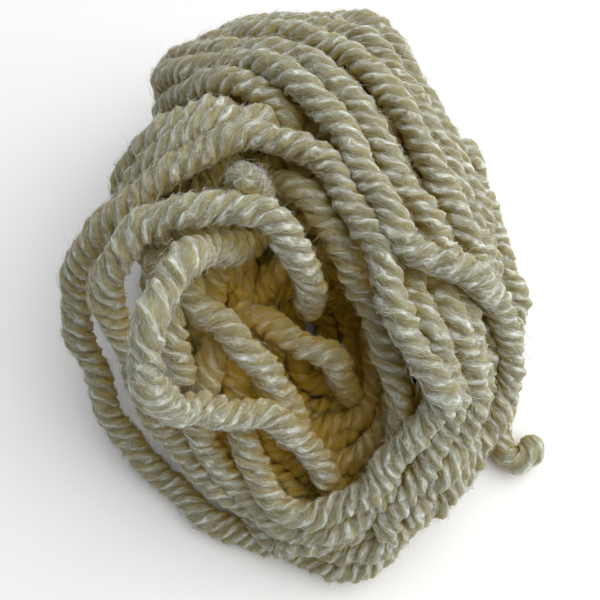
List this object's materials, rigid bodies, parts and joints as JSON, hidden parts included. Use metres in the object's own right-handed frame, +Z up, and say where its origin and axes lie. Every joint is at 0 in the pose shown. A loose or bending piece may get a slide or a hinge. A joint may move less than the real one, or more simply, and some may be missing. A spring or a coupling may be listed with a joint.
{
  "type": "yarn skein",
  "caption": "Small hand-wound skein of cream plied yarn, laid flat as a loose oval ring with a hollow in the middle and a loose end that curls on the table.",
  "frame": {"origin": "on the table, under the middle of the skein's bounding box", "axes": "+Z up out of the table, +Y along the skein's long side, towards its high end, +X towards the loose end"},
  "size_m": [0.0548, 0.0656, 0.0375],
  "materials": {
    "yarn": "plied, soft and slightly fuzzy, with a faint sheen along the fibres"
  },
  "bodies": {
    "root": {"wound_yarn": "yarn", "loose_end": "yarn"}
  },
  "joints": []
}
